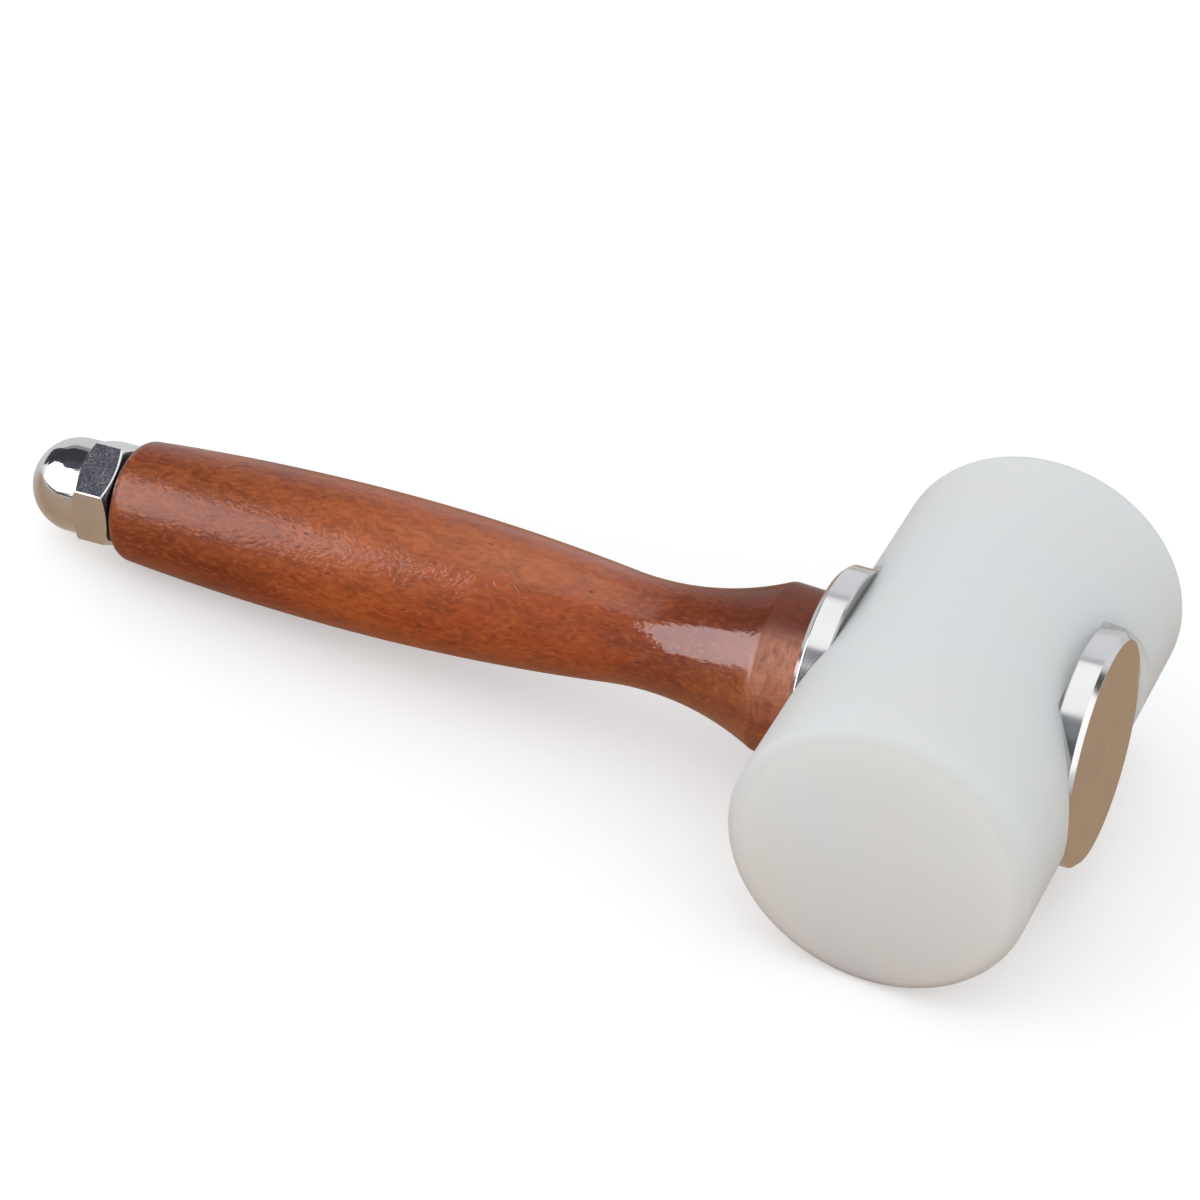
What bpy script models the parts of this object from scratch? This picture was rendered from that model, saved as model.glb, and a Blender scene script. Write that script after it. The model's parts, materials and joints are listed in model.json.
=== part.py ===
"""A mallet for leathercraft, modelled in metres.

A nylon head lies across the end of a turned wooden handle. Two steel discs sit in round pockets in
the head's sides, and one tie rod runs through everything: it is screwed into the top disc and passes
through the head, the handle disc and the handle to a dome nut at the butt. The pieces are laid out
along X, with the head's centre at the origin, and are then tipped together until the mallet lies on
the ground on its head and its nut.
"""

import math

import bmesh
import bpy
from mathutils import Matrix

# The head, a round nylon bar
HEAD_RADIUS = 0.025
HEAD_LENGTH = 0.0824
HEAD_EDGE_RADIUS = 0.002

# The pockets that the discs sit in, one on each side of the head
POCKET_DEPTH = 0.00625
POCKET_CLEARANCE = 0.0009
POCKET_FLARE_RADIUS = 0.013

# The steel discs
DISC_RADIUS = 0.0194
DISC_THICKNESS = 0.005
DISC_CHAMFER = 0.0009
DISC_BACK_CHAMFER = 0.0003
SOCKET_DEPTH = 0.0036

# The tie rod
ROD_RADIUS = 0.005
ROD_CHAMFER = 0.0008

# The wooden handle. Distances run from the handle disc towards the butt
HANDLE_LENGTH = 0.1274
COLLAR_RADIUS = 0.0140
RIDGE_RADIUS = 0.0144
RIDGE_DISTANCE = 0.008
NECK_RADIUS = 0.00935
COVE_RADIUS = 0.049
BELLY_RADIUS = 0.0125
BELLY_DISTANCE = 0.0826
BUTT_RADIUS = 0.0104
BUTT_EDGE_RADIUS = 0.003

# The dome nut
NUT_ACROSS_FLATS = 0.017
NUT_HEX_HEIGHT = 0.007
NUT_FACE_RADIUS = 0.0081
NUT_CHAMFER_ANGLE = math.radians(30)
DOME_RADIUS = 0.0083
NUT_HEIGHT = 0.018
NUT_BORE_DEPTH = 0.013
NUT_ENGAGEMENT = 0.011
DRILL_POINT_ANGLE = math.radians(59)

# Gaps between pieces that touch, and round the rod
SEAT_GAP = 0.0003
BORE_CLEARANCE = 0.0003

# Facets of a full turn
WIDE_FACETS = 96
HANDLE_FACETS = 64
NARROW_FACETS = 48
HEXAGON = 6

# How far a cutter stands out past the surface that it cuts
OVERCUT = 0.002
MERGE_DISTANCE = 0.00001
SHARP_ANGLE = math.radians(28)

# Places along the handle's axis, which follow from the sizes above
POCKET_FLOOR = HEAD_RADIUS - POCKET_DEPTH
DISC_SEAT = POCKET_FLOOR + SEAT_GAP
DISC_FACE = DISC_SEAT + DISC_THICKNESS
HANDLE_SEAT = DISC_FACE + SEAT_GAP
NUT_SEAT = HANDLE_SEAT + HANDLE_LENGTH + SEAT_GAP
ROD_TOP = DISC_SEAT + SOCKET_DEPTH - SEAT_GAP
ROD_END = NUT_SEAT + NUT_ENGAGEMENT
BORE_RADIUS = ROD_RADIUS + BORE_CLEARANCE
POCKET_RADIUS = DISC_RADIUS + POCKET_CLEARANCE
NUT_CORNER_RADIUS = NUT_ACROSS_FLATS / 2 / math.cos(math.pi / HEXAGON)

# Turns of a piece that is modelled upright about Z
TOWARDS_BUTT = (0, -math.pi / 2, 0)
TOWARDS_TOP = (0, math.pi / 2, 0)
ACROSS = (math.pi / 2, 0, 0)


def clear_scene():
    for old in list(bpy.data.objects):
        bpy.data.objects.remove(old, do_unlink=True)


def new_collection(name):
    collection = bpy.data.collections.new(name)
    bpy.context.scene.collection.children.link(collection)
    return collection


def material(name, colour, roughness, metallic):
    """A plain finish: colour is linear RGB."""
    finish = bpy.data.materials.new(name)
    finish.use_nodes = True
    shader = finish.node_tree.nodes["Principled BSDF"]
    shader.inputs["Base Color"].default_value = (*colour, 1)
    shader.inputs["Roughness"].default_value = roughness
    shader.inputs["Metallic"].default_value = metallic
    finish.diffuse_color = (*colour, 1)
    return finish


def arc(centre, radius, start, end, steps):
    """Points (radius, height) on a round arc, with its angles measured from the outward direction."""
    points = []
    for step in range(steps + 1):
        angle = start + (end - start) * step / steps
        points.append((centre[0] + radius * math.cos(angle), centre[1] + radius * math.sin(angle)))
    return points


def turned(name, profile, facets, collection, closed=False):
    """A solid turned about Z. The profile runs down its outer side, and a closed one goes on up a bore."""
    vertices = [(radius, 0, height) for radius, height in profile]
    edges = [(index, index + 1) for index in range(len(profile) - 1)]
    if closed:
        edges.append((len(profile) - 1, 0))
    mesh = bpy.data.meshes.new(name)
    mesh.from_pydata(vertices, edges, [])
    piece = bpy.data.objects.new(name, mesh)
    collection.objects.link(piece)
    screw = piece.modifiers.new("turn", "SCREW")
    screw.steps = facets
    screw.render_steps = facets
    screw.use_merge_vertices = True
    screw.merge_threshold = MERGE_DISTANCE
    screw.use_smooth_shade = True
    return piece


def place(piece, frame, along=0.0, turn=(0, 0, 0)):
    """Puts a piece on the handle's axis, along the way from the head's centre towards the top."""
    piece.parent = frame
    piece.location = (along, 0, 0)
    piece.rotation_euler = turn


def boolean(piece, other, operation):
    modifier = piece.modifiers.new(other.name, "BOOLEAN")
    modifier.operation = operation
    modifier.solver = "EXACT"
    modifier.object = other


def hide(cutter):
    cutter.hide_render = True
    cutter.display_type = "WIRE"


def finish(piece, surface):
    """Fixes the piece's modelled shape in its mesh, smooth but for its real edges."""
    bpy.context.view_layer.update()
    graph = bpy.context.evaluated_depsgraph_get()
    mesh = bpy.data.meshes.new_from_object(piece.evaluated_get(graph))
    piece.modifiers.clear()
    piece.data = mesh
    mesh.name = piece.name
    mesh.shade_smooth()
    mesh.set_sharp_from_angle(angle=SHARP_ANGLE)
    mesh.materials.clear()
    mesh.materials.append(surface)


def rounded_bar(radius, length, edge, steps=6):
    """The profile of a solid bar with rounded ends, centred on its own middle."""
    half = length / 2
    inset = radius - edge
    top = arc((inset, half - edge), edge, math.pi / 2, 0, steps)
    bottom = arc((inset, edge - half), edge, 0, -math.pi / 2, steps)
    return [(0, half), *top, *bottom, (0, -half)]


def pocket_profile(steps=8):
    """The space of one pocket: flat floor, and a wall that flares out to the head's surface."""
    rise = POCKET_DEPTH + OVERCUT
    sweep = math.asin(rise / POCKET_FLARE_RADIUS)
    centre = (POCKET_RADIUS + POCKET_FLARE_RADIUS, 0)
    wall = arc(centre, POCKET_FLARE_RADIUS, math.pi - sweep, math.pi, steps)
    return [(0, rise), *wall, (0, 0)]


def make_head(parts, cutters, frame):
    head = turned("nylon_head", rounded_bar(HEAD_RADIUS, HEAD_LENGTH, HEAD_EDGE_RADIUS), WIDE_FACETS, parts)
    place(head, frame, turn=ACROSS)
    for side, towards, turn in (("top", 1, TOWARDS_TOP), ("handle", -1, TOWARDS_BUTT)):
        pocket = turned(f"{side}_pocket", pocket_profile(), WIDE_FACETS, cutters)
        place(pocket, frame, towards * POCKET_FLOOR, turn)
        hide(pocket)
        boolean(head, pocket, "DIFFERENCE")
    reach = HEAD_RADIUS + OVERCUT
    bore = turned(
        "head_bore",
        [(0, reach), (BORE_RADIUS, reach), (BORE_RADIUS, -reach), (0, -reach)],
        NARROW_FACETS,
        cutters,
    )
    place(bore, frame, turn=TOWARDS_TOP)
    hide(bore)
    boolean(head, bore, "DIFFERENCE")
    finish(head, material("nylon", (0.72, 0.73, 0.71), 0.38, 0))


def disc_rim():
    """The outer side of a disc, from its chamfered face down to its back."""
    return [
        (DISC_RADIUS - DISC_CHAMFER, DISC_THICKNESS),
        (DISC_RADIUS, DISC_THICKNESS - DISC_CHAMFER),
        (DISC_RADIUS, DISC_BACK_CHAMFER),
        (DISC_RADIUS - DISC_BACK_CHAMFER, 0),
    ]


def make_discs(parts, frame):
    steel = material("disc_steel", (0.62, 0.61, 0.59), 0.2, 1)
    through = [*disc_rim(), (BORE_RADIUS, 0), (BORE_RADIUS, DISC_THICKNESS)]
    handle_disc = turned("handle_disc", through, WIDE_FACETS, parts, closed=True)
    place(handle_disc, frame, -DISC_SEAT, TOWARDS_BUTT)
    finish(handle_disc, steel)
    socket = [(BORE_RADIUS, 0), (BORE_RADIUS, SOCKET_DEPTH), (0, SOCKET_DEPTH)]
    blind = [(0, DISC_THICKNESS), *disc_rim(), *socket]
    top_disc = turned("top_disc", blind, WIDE_FACETS, parts)
    place(top_disc, frame, DISC_SEAT, TOWARDS_TOP)
    finish(top_disc, steel)


def sweep_radius(span, drop):
    """The radius of the arc that leaves its crest level and drops so far over this span."""
    return (span**2 + drop**2) / (2 * drop)


def handle_side():
    """The handle's outer side, from the butt down to the disc, as arcs that run into each other."""
    drop = BELLY_RADIUS - NECK_RADIUS
    cove_rise = COVE_RADIUS - (RIDGE_RADIUS - NECK_RADIUS)
    neck = RIDGE_DISTANCE + math.sqrt(COVE_RADIUS**2 - cove_rise**2)
    cove_centre = (NECK_RADIUS + COVE_RADIUS, neck)
    front = sweep_radius(BELLY_DISTANCE - neck, drop) - COVE_RADIUS
    front_centre = (BELLY_RADIUS - front, BELLY_DISTANCE)
    lean = math.asin((BELLY_DISTANCE - neck) / (front + COVE_RADIUS))
    flare = math.acos(cove_rise / COVE_RADIUS)

    back_span = HANDLE_LENGTH - BELLY_DISTANCE
    back = sweep_radius(back_span, BELLY_RADIUS - BUTT_RADIUS)
    back_centre = (BELLY_RADIUS - back, BELLY_DISTANCE)
    edge_height = back_span - BUTT_EDGE_RADIUS
    edge_lean = math.asin(edge_height / (back - BUTT_EDGE_RADIUS))
    edge_centre = (
        back_centre[0] + (back - BUTT_EDGE_RADIUS) * math.cos(edge_lean),
        HANDLE_LENGTH - BUTT_EDGE_RADIUS,
    )

    edge = arc(edge_centre, BUTT_EDGE_RADIUS, math.pi / 2, edge_lean, 8)
    back_sweep = arc(back_centre, back, edge_lean, 0, 9)
    front_sweep = arc(front_centre, front, 0, -lean, 9)
    cove = arc(cove_centre, COVE_RADIUS, math.pi - lean, math.pi + flare, 10)
    return [*edge, *back_sweep[1:], *front_sweep[1:], *cove[1:], (COLLAR_RADIUS, 0)]


def make_handle(parts, frame):
    profile = [*handle_side(), (BORE_RADIUS, 0), (BORE_RADIUS, HANDLE_LENGTH)]
    handle = turned("wood_handle", profile, HANDLE_FACETS, parts, closed=True)
    place(handle, frame, -HANDLE_SEAT, TOWARDS_BUTT)
    finish(handle, material("varnished_wood", (0.27, 0.075, 0.03), 0.35, 0))


def make_rod(parts, frame):
    length = ROD_TOP + ROD_END
    profile = [
        (0, length),
        (ROD_RADIUS - ROD_CHAMFER, length),
        (ROD_RADIUS, length - ROD_CHAMFER),
        (ROD_RADIUS, ROD_CHAMFER),
        (ROD_RADIUS - ROD_CHAMFER, 0),
        (0, 0),
    ]
    rod = turned("tie_rod", profile, NARROW_FACETS, parts)
    place(rod, frame, ROD_TOP, TOWARDS_BUTT)
    finish(rod, material("rod_steel", (0.5, 0.5, 0.5), 0.35, 1))


def make_hexagon(name, collection):
    """The nut's six-sided body, standing on the ground with two of its corners on the X axis."""
    shape = bmesh.new()
    bmesh.ops.create_cone(
        shape,
        cap_ends=True,
        segments=HEXAGON,
        radius1=NUT_CORNER_RADIUS,
        radius2=NUT_CORNER_RADIUS,
        depth=NUT_HEX_HEIGHT,
    )
    quarter_turn = Matrix.Rotation(math.pi / 2, 3, "Z")
    bmesh.ops.rotate(shape, verts=shape.verts, cent=(0, 0, 0), matrix=quarter_turn)
    bmesh.ops.translate(shape, verts=shape.verts, vec=(0, 0, NUT_HEX_HEIGHT / 2))
    mesh = bpy.data.meshes.new(name)
    shape.to_mesh(mesh)
    shape.free()
    body = bpy.data.objects.new(name, mesh)
    collection.objects.link(body)
    return body


def make_nut(parts, cutters, frame):
    nut = make_hexagon("dome_nut", parts)
    place(nut, frame, -NUT_SEAT, TOWARDS_BUTT)

    widest = NUT_CORNER_RADIUS + OVERCUT
    cone_drop = (widest - NUT_FACE_RADIUS) * math.tan(NUT_CHAMFER_ANGLE)
    middle = NUT_HEX_HEIGHT / 2
    corners = [
        (0, NUT_HEX_HEIGHT),
        (NUT_FACE_RADIUS, NUT_HEX_HEIGHT),
        (widest, max(NUT_HEX_HEIGHT - cone_drop, middle)),
        (widest, min(cone_drop, middle)),
        (NUT_FACE_RADIUS, 0),
        (0, 0),
    ]
    chamfer = turned("nut_chamfer", corners, WIDE_FACETS, cutters)

    dome_height = NUT_HEIGHT - DOME_RADIUS
    cap = arc((0, dome_height), DOME_RADIUS, math.pi / 2, 0, 10)
    dome = turned("nut_dome", [*cap, (DOME_RADIUS, middle), (0, middle)], NARROW_FACETS, cutters)

    point = BORE_RADIUS / math.tan(DRILL_POINT_ANGLE)
    drilled = [
        (0, NUT_BORE_DEPTH + point),
        (BORE_RADIUS, NUT_BORE_DEPTH),
        (BORE_RADIUS, -OVERCUT),
        (0, -OVERCUT),
    ]
    bore = turned("nut_bore", drilled, NARROW_FACETS, cutters)

    for cutter, operation in ((chamfer, "INTERSECT"), (dome, "UNION"), (bore, "DIFFERENCE")):
        place(cutter, frame, -NUT_SEAT, TOWARDS_BUTT)
        hide(cutter)
        boolean(nut, cutter, operation)
    finish(nut, material("nut_chrome", (0.62, 0.61, 0.6), 0.12, 1))


def resting_tilt():
    """How far the mallet tips about its head before the handle or a corner of the nut meets the ground."""
    rings = [(HANDLE_SEAT + height, radius) for radius, height in handle_side()]
    corner_drop = (NUT_CORNER_RADIUS - NUT_FACE_RADIUS) * math.tan(NUT_CHAMFER_ANGLE)
    rings.append((NUT_SEAT + NUT_HEX_HEIGHT - corner_drop, NUT_CORNER_RADIUS))
    rings.append((NUT_SEAT + NUT_HEIGHT - DOME_RADIUS, DOME_RADIUS))
    return min(
        math.asin(HEAD_RADIUS / math.hypot(distance, radius)) - math.atan(radius / distance)
        for distance, radius in rings
    )


def resting_frame(collection):
    """The axes that the mallet is built in, tipped on to the ground and centred over the origin."""
    tilt = resting_tilt()
    disc_edge = DISC_FACE * math.cos(tilt) + (DISC_RADIUS - DISC_CHAMFER) * math.sin(tilt)
    head_side = max(disc_edge, HEAD_RADIUS)
    dome_side = (NUT_SEAT + NUT_HEIGHT - DOME_RADIUS) * math.cos(tilt) + DOME_RADIUS
    frame = bpy.data.objects.new("resting_frame", None)
    frame.location = ((dome_side - head_side) / 2, 0, HEAD_RADIUS)
    frame.rotation_euler = (0, -tilt, 0)
    collection.objects.link(frame)
    return frame


def main():
    clear_scene()
    parts = new_collection("leather_mallet")
    cutters = new_collection("cutters")
    frame = resting_frame(parts)
    make_head(parts, cutters, frame)
    make_discs(parts, frame)
    make_handle(parts, frame)
    make_rod(parts, frame)
    make_nut(parts, cutters, frame)


main()
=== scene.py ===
"""Looks of a leathercraft mallet: nylon head, steel discs, varnished handle and a bright dome nut.

Each piece is modelled in the mallet's own axes, with X along the handle and 0 in the middle of the head,
and is then laid in the frame. Lengths are in metres.
"""

import json
import math

import bmesh
import bpy
from mathutils import Matrix, Vector


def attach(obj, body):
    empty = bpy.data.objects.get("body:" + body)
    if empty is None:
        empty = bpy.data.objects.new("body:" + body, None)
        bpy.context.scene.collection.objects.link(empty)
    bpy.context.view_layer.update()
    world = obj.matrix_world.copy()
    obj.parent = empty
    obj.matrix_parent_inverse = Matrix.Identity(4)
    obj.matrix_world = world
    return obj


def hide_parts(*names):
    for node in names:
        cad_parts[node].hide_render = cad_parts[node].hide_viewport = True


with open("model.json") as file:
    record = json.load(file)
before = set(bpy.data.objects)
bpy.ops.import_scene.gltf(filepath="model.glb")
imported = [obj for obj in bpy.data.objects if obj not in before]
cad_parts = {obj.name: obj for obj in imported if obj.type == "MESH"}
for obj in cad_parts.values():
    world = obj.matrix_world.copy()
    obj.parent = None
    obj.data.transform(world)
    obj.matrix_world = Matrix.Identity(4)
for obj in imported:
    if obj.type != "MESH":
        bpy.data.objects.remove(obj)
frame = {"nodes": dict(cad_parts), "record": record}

bl_info = {
    "name": "Leathercraft mallet",
    "version": (1, 0, 0),
    "blender": (4, 5, 0),
    "location": "3D View > Sidebar > Mallet",
    "description": "Models and finishes a leathercraft mallet round its fixed frame",
    "category": "Add Mesh",
}

BODY = "root"

# Steps round the axis of a turned shape
ROUND_STEPS = 192
HANDLE_STEPS = 128
DOME_STEPS = 96
BORE_STEPS = 48

# Steps along the arcs of the profiles
WALL_ARC = 10
COVE_ARC = 24
FRONT_ARC = 20
BACK_ARC = 18
BUTT_EDGE_ARC = 10
DOME_ARC = 24

# Points closer than this are merged
SAME_POINT = 0.000002

# How far a corner may lie from the line on which it is looked for
ON_THE_LINE = 0.00001

NUT_CHAMFER_ANGLE = math.radians(30)
SHARP_EDGE_ANGLE = math.radians(20)
SENSOR_WIDTH_MM = 36


def middle(points):
    return sum(points, Vector()) / len(points)


def striking_face(name):
    """The middle of one striking face, as the record gives it."""
    mount = next(m for m in frame["record"]["mounts"] if m["name"] == name)
    return Vector(mount["pos_m"])


def rod_direction():
    """The way from the butt to the head along the tie rod."""
    points = [vertex.co.copy() for vertex in frame["nodes"]["tie_rod"].data.vertices]
    halfway = middle(points).x
    top = middle([point for point in points if point.x > halfway])
    butt = middle([point for point in points if point.x <= halfway])
    return (top - butt).normalized()


HEAD_CENTRE = (striking_face("front_striking_face") + striking_face("rear_striking_face")) / 2
ROD_DIRECTION = rod_direction()
TILT = math.atan2(ROD_DIRECTION.z, ROD_DIRECTION.x)
MALLET_AXES = Matrix.Translation(HEAD_CENTRE) @ Matrix.Rotation(-TILT, 4, "Y")
HEAD_HALF_LENGTH = (striking_face("rear_striking_face") - HEAD_CENTRE).length


# Sizes and colours that a user may change


def length(name, description, default):
    return bpy.props.FloatProperty(name=name, description=description, default=default, unit="LENGTH", precision=5)


def colour(name, description, default):
    return bpy.props.FloatVectorProperty(
        name=name, description=description, default=default, subtype="COLOR", size=3, min=0, max=1
    )


class HeadSettings(bpy.types.PropertyGroup):
    radius: length("Radius", "Radius of the nylon bar", 0.025)
    edge: length("Edge radius", "Rounding of the striking faces' edges", 0.002)
    pocket_depth: length("Pocket depth", "How deep the disc pockets are cut", 0.00625)
    pocket_radius: length("Pocket radius", "Radius of a pocket's floor", 0.0203)
    flare: length("Flare radius", "Curve of a pocket's wall out to the surface", 0.013)
    top_colour: colour("Nylon", "Body colour of the nylon", (0.765, 0.79, 0.80))
    deep_colour: colour("Nylon, deep", "Colour of light that comes through the nylon", (0.79, 0.79, 0.765))


class DiscSettings(bpy.types.PropertyGroup):
    radius: length("Radius", "Radius of both steel discs", 0.0194)
    thickness: length("Thickness", "Thickness of both steel discs", 0.005)
    chamfer: length("Chamfer", "Chamfer round the outer face", 0.0009)
    back_chamfer: length("Back chamfer", "Broken edge round the seated face", 0.0003)
    glint: length("Edge softening", "Rounding of the chamfer's two edges", 0.0001)
    seat: length("Seat", "Distance of the seated face from the head's centre", 0.01905)
    steel: colour("Steel", "Colour of the polished steel", (0.74, 0.73, 0.72))


class HandleSettings(bpy.types.PropertyGroup):
    length: length("Length", "From the disc to the butt", 0.1274)
    seat: length("Seat", "Distance of the collar from the head's centre", 0.02435)
    bore: length("Bore", "Radius of the hole for the rod", 0.0053)
    collar: length("Collar radius", "Radius at the disc", 0.014)
    ridge: length("Ridge radius", "Radius of the ridge behind the collar", 0.0144)
    ridge_distance: length("Ridge distance", "From the disc to the ridge", 0.008)
    ridge_softening: length("Ridge softening", "Rounding of the ridge", 0.0005)
    neck: length("Neck radius", "Radius of the narrowest place", 0.00935)
    cove: length("Cove radius", "Curve of the hollow that makes the neck", 0.049)
    belly: length("Belly radius", "Radius of the thickest place", 0.0125)
    belly_distance: length("Belly distance", "From the disc to the thickest place", 0.0826)
    butt: length("Butt radius", "Radius at the butt before its rounding", 0.0104)
    butt_edge: length("Butt rounding", "Rounding of the butt's edge", 0.003)
    dark: colour("Dark wood", "Deepest tone of the stained wood", (0.12, 0.017, 0.003))
    body: colour("Wood", "Main tone of the stained wood", (0.40, 0.066, 0.010))
    light: colour("Light wood", "Palest tone of the stained wood", (0.58, 0.160, 0.036))


class NutSettings(bpy.types.PropertyGroup):
    across_flats: length("Across flats", "Width of the six-sided body", 0.017)
    hex_height: length("Hexagon height", "Height of the six-sided body", 0.007)
    face: length("Face radius", "Radius of the flat inside the chamfer", 0.0081)
    dome: length("Dome radius", "Radius of the dome", 0.0083)
    height: length("Height", "Height of the whole nut", 0.018)
    seat: length("Seat", "Distance of the nut's base from the head's centre", 0.15205)
    glint: length("Edge softening", "Rounding of the nut's edges", 0.00035)
    plating: colour("Plating", "Colour of the bright plating", (0.78, 0.77, 0.75))


class StageSettings(bpy.types.PropertyGroup):
    aim: bpy.props.FloatVectorProperty(
        name="Aim", description="Point that the camera looks at", default=(0.00875, -0.00242, 0.025), unit="LENGTH"
    )
    distance: length("Distance", "From the camera to its aim", 0.69507)
    elevation: bpy.props.FloatProperty(
        name="Elevation", description="Height of the camera over its aim", default=math.radians(37.959), unit="ROTATION"
    )
    azimuth: bpy.props.FloatProperty(
        name="Azimuth", description="Turn of the view about the vertical", default=math.radians(18.763), unit="ROTATION"
    )
    roll: bpy.props.FloatProperty(
        name="Roll", description="Lean of the camera", default=math.radians(7.254), unit="ROTATION"
    )
    lens: bpy.props.FloatProperty(
        name="Lens", description="Focal length on a 36 mm sensor", default=126.30, unit="CAMERA"
    )
    table: colour("Table", "Tan of the worktop that the metal reflects", (0.42, 0.295, 0.197))
    mat: colour("Mat", "Warm colour that the floor throws back up", (0.48, 0.345, 0.26))


SETTINGS = {
    "mallet_head": HeadSettings,
    "mallet_discs": DiscSettings,
    "mallet_handle": HandleSettings,
    "mallet_nut": NutSettings,
    "mallet_stage": StageSettings,
}


# Modelling steps that several pieces share


def clear_selection():
    bpy.ops.object.select_all(action="DESELECT")


def select_only(piece):
    clear_selection()
    piece.select_set(True)
    bpy.context.view_layer.objects.active = piece


def arc(centre, radius, start, end, steps):
    """Points (along, out) on a round arc, with angles measured from the axis towards the outside."""
    angles = [start + (end - start) * step / steps for step in range(steps + 1)]
    return [(centre[0] + radius * math.cos(a), centre[1] + radius * math.sin(a)) for a in angles]


def facing(side, profile):
    """A profile turned to the far side of the head with 1, or towards the butt with -1."""
    return [(side * along, out) for along, out in profile]


def spin_profile(name, profile, steps=ROUND_STEPS):
    """Draws a profile point by point beside the X axis and spins it round into a closed solid.

    The first point is a small plane whose corners are merged.
    """
    clear_selection()
    bpy.ops.mesh.primitive_plane_add(size=0.001)
    piece = bpy.context.object
    piece.name = name
    bpy.ops.object.mode_set(mode="EDIT")
    bpy.ops.mesh.select_mode(type="VERT")
    bpy.ops.mesh.merge(type="CENTER")
    bpy.ops.transform.translate(value=(profile[0][0], 0, profile[0][1]))
    for here, there in zip(profile, profile[1:]):
        step = (there[0] - here[0], 0, there[1] - here[1])
        bpy.ops.mesh.extrude_vertices_move(TRANSFORM_OT_translate={"value": step})
    bpy.ops.mesh.select_all(action="SELECT")
    bpy.ops.mesh.spin(steps=steps, angle=2 * math.pi, center=(0, 0, 0), axis=(1, 0, 0))
    bpy.ops.mesh.select_all(action="SELECT")
    bpy.ops.mesh.remove_doubles(threshold=SAME_POINT)
    bpy.ops.mesh.normals_make_consistent(inside=False)
    bpy.ops.object.mode_set(mode="OBJECT")
    return piece


def select_edges(piece, chosen):
    """In edit mode, selects only the edges that pass the test."""
    bpy.ops.mesh.select_mode(type="EDGE")
    bpy.ops.mesh.select_all(action="DESELECT")
    shape = bmesh.from_edit_mesh(piece.data)
    for edge in shape.edges:
        if chosen(edge):
            edge.select = True
    bmesh.update_edit_mesh(piece.data)


def bevel_edges(piece, chosen, offset, segments):
    """Rounds the edges that pass the test."""
    select_only(piece)
    bpy.ops.object.mode_set(mode="EDIT")
    select_edges(piece, chosen)
    bpy.ops.mesh.bevel(offset=offset, segments=segments, affect="EDGES", clamp_overlap=True)
    bpy.ops.object.mode_set(mode="OBJECT")


def solid_volume(piece):
    """Volume of a closed piece, and an error for one that is open or inside out."""
    shape = bmesh.new()
    shape.from_mesh(piece.data)
    volume = shape.calc_volume(signed=True)
    is_closed = all(edge.is_manifold for edge in shape.edges)
    shape.free()
    if volume <= 0 or not is_closed:
        raise RuntimeError(f"{piece.name} isn't a closed solid with its faces outward")
    return volume


def combine(piece, tool, operation):
    """Cuts or joins a tool to a piece and removes the tool."""
    before = solid_volume(piece)
    solid_volume(tool)
    modifier = piece.modifiers.new(operation.title(), "BOOLEAN")
    modifier.operation = operation
    modifier.solver = "MANIFOLD"
    modifier.object = tool
    select_only(piece)
    bpy.ops.object.modifier_apply(modifier=modifier.name)
    bpy.data.objects.remove(tool, do_unlink=True)
    grown = solid_volume(piece) > before
    if grown != (operation == "UNION"):
        raise RuntimeError(f"{operation} changed {piece.name} the wrong way")


def finish_piece(piece, material, node, smooth_angle=30):
    """Shades a piece, lays it in the mallet's axes and puts it in the place of its CAD node."""
    select_only(piece)
    bpy.ops.object.shade_smooth_by_angle(angle=math.radians(smooth_angle))
    even = piece.modifiers.new("Even shading", "WEIGHTED_NORMAL")
    even.keep_sharp = True
    bpy.ops.object.modifier_apply(modifier=even.name)
    piece.matrix_world = MALLET_AXES
    bpy.ops.object.transform_apply(location=True, rotation=True, scale=True)
    piece.data.materials.clear()
    piece.data.materials.append(material)
    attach(piece, BODY)
    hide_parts(node)


# Materials


class Nodes:
    """The nodes of a material or a world. A socket takes a number, a colour or another node's output."""

    def __init__(self, owner):
        owner.use_nodes = True
        self.owner = owner
        self.tree = owner.node_tree
        self.tree.nodes.clear()

    def add(self, kind, sockets=None, **settings):
        """Makes a node. Its settings come first, because they decide which sockets it has."""
        node = self.tree.nodes.new(kind)
        for name, value in settings.items():
            setattr(node, name, value)
        for key, value in (sockets or {}).items():
            self.fill(node.inputs[key], value)
        return node

    def fill(self, socket, value):
        if isinstance(value, bpy.types.NodeSocket):
            self.tree.links.new(value, socket)
        elif socket.type == "RGBA":
            socket.default_value = (*value, 1)
        else:
            socket.default_value = value

    def show(self, surface, output="ShaderNodeOutputMaterial"):
        """Puts a shader on the output and gives back the material or world."""
        self.add(output, {"Surface": surface})
        return self.owner

    def maths(self, operation, first, second=0.0):
        return self.add("ShaderNodeMath", {0: first, 1: second}, operation=operation).outputs[0]

    def product(self, first, *others):
        for other in others:
            first = self.maths("MULTIPLY", first, other)
        return first

    def spread(self, value, low, high, to_low=0.0, to_high=1.0):
        """Stretches the part of a value between low and high over a new range."""
        sockets = {"Value": value, "From Min": low, "From Max": high, "To Min": to_low, "To Max": to_high}
        return self.add("ShaderNodeMapRange", sockets).outputs["Result"]

    def layers(self, tone, *coats):
        """Blends each coat, which is a share and a colour, over what is there."""
        for share, shade in coats:
            # Sockets 6 and 7 and output 2 of this node are the ones for colours
            tone = self.add("ShaderNodeMix", {0: share, 6: tone, 7: shade}, data_type="RGBA").outputs[2]
        return tone


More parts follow.
